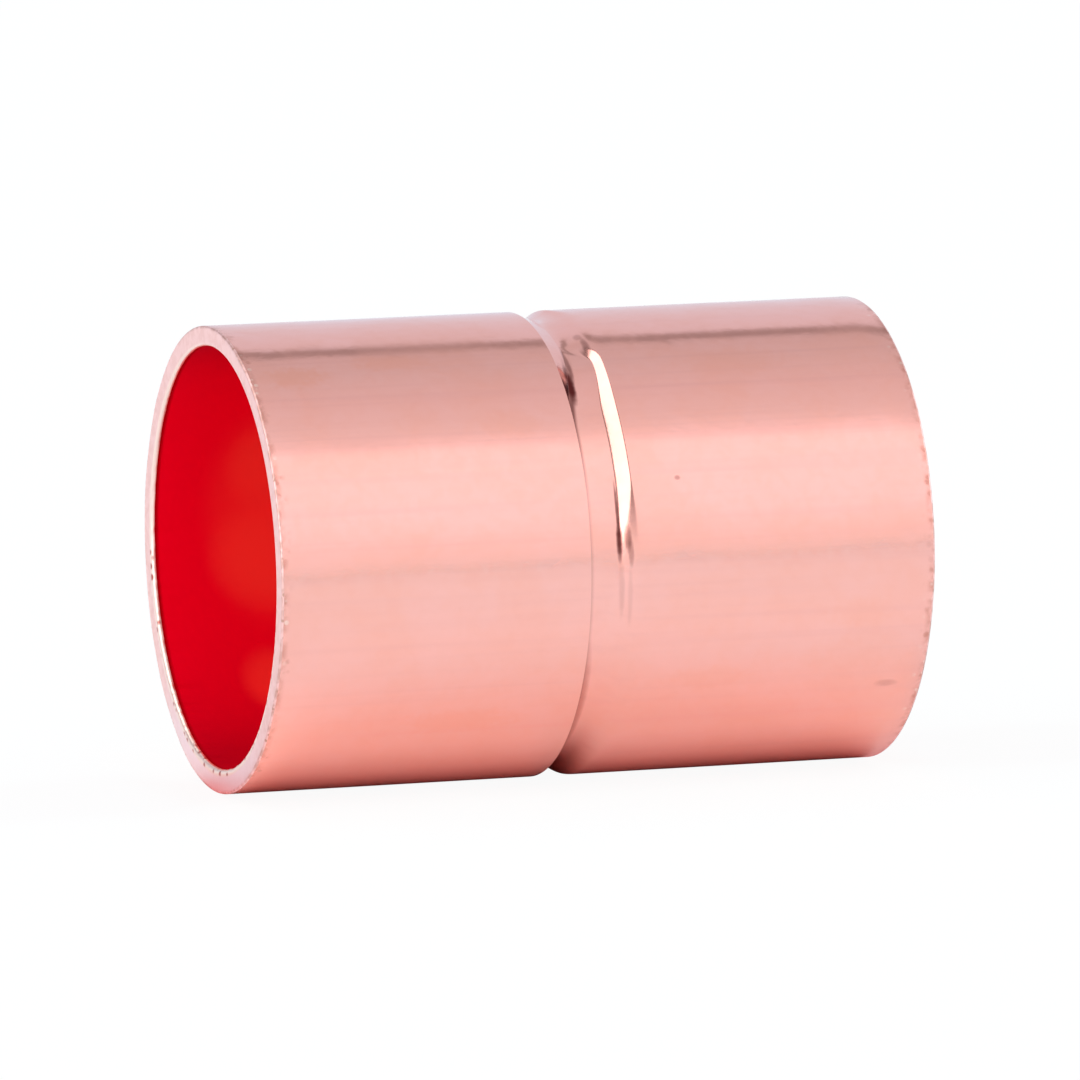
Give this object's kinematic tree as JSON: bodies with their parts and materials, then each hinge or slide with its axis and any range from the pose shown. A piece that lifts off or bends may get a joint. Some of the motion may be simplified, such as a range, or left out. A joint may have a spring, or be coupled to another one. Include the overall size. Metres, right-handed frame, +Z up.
{
  "type": "pipe coupling",
  "caption": "Short copper tube sleeve with an equal socket at each end and a rolled groove round its middle, for joining two lengths of tube by soldering or brazing.",
  "frame": {"origin": "on the axis, at the middle of the stop bead, which is the middle of the coupling", "axes": "+X along the axis, towards the right socket's mouth; +Z up as the coupling lies on its side; +Y away from the viewer who sees the left mouth on the left"},
  "size_m": [0.0208, 0.0142, 0.0142],
  "materials": {
    "copper": null
  },
  "bodies": {
    "root": {"coupling_body": "copper"}
  },
  "joints": []
}
